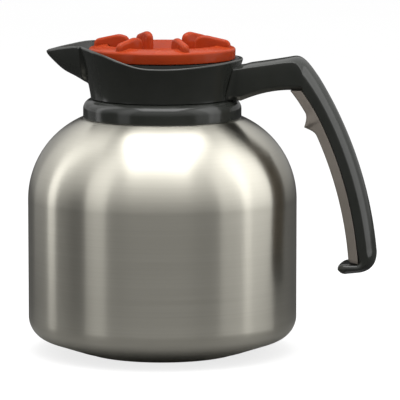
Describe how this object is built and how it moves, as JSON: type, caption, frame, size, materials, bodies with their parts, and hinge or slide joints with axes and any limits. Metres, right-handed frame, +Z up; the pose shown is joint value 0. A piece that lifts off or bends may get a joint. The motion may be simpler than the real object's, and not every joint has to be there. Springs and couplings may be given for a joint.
{
  "type": "thermal coffee carafe",
  "caption": "Steel vacuum carafe for a coffee brewer with a gloss black spout collar and handle, a grip insert and an orange brew-through lid whose cap turns a pour valve.",
  "frame": {"origin": "centre of the foot on the surface that the carafe stands on", "axes": "+X towards the handle, -X towards the spout, +Z up; the carafe is symmetrical about the XZ plane"},
  "size_m": [0.215, 0.165, 0.1945],
  "materials": {
    "brushed_steel": "fine horizontal brushing, satin",
    "liner_steel": "electropolished, satin",
    "black_plastic": "smooth gloss moulding",
    "grip_plastic": "soft touch, fine texture",
    "orange_plastic": "gloss, slightly translucent moulding",
    "natural_plastic": "natural moulding",
    "silicone": "food-grade silicone",
    "rubber": "matte",
    "zinc": "plated"
  },
  "bodies": {
    "carafe": {"outer_shell": "brushed_steel", "inner_flask": "liner_steel", "base_plate": "brushed_steel", "foot_pad": "rubber", "vacuum_seal": "zinc", "getter": "liner_steel", "neck_ring": "liner_steel", "neck_thread": "liner_steel", "neck_gasket": "silicone", "lower_ring": "black_plastic", "retaining_ring": "zinc", "pour_collar": "black_plastic", "handle_frame": "black_plastic", "handle_grip": "grip_plastic", "handle_screw_left": "zinc", "handle_screw_right": "zinc"},
    "stopper": {"stopper_body": "black_plastic", "lid_seal": "silicone", "drip_tube": "natural_plastic", "float_cage": "natural_plastic"},
    "lid": {"lid_cap": "orange_plastic", "valve_sleeve": "natural_plastic", "sleeve_screw_1": "zinc", "sleeve_screw_2": "zinc", "sleeve_screw_3": "zinc"},
    "float": {"float_valve": "natural_plastic"}
  },
  "joints": [
    {"name": "lid_lift", "type": "slide", "parent": "carafe", "child": "stopper", "axis": [0, 0, 1], "range_m": [0, 0.06]},
    {"name": "lid_turn", "type": "hinge", "parent": "stopper", "child": "lid", "pos_m": [0, 0, 0.18], "axis": [0, 0, 1], "range_deg": [0, 60]},
    {"name": "float_rise", "type": "slide", "parent": "stopper", "child": "float", "axis": [0, 0, 1], "range_m": [0, 0.0025]}
  ]
}
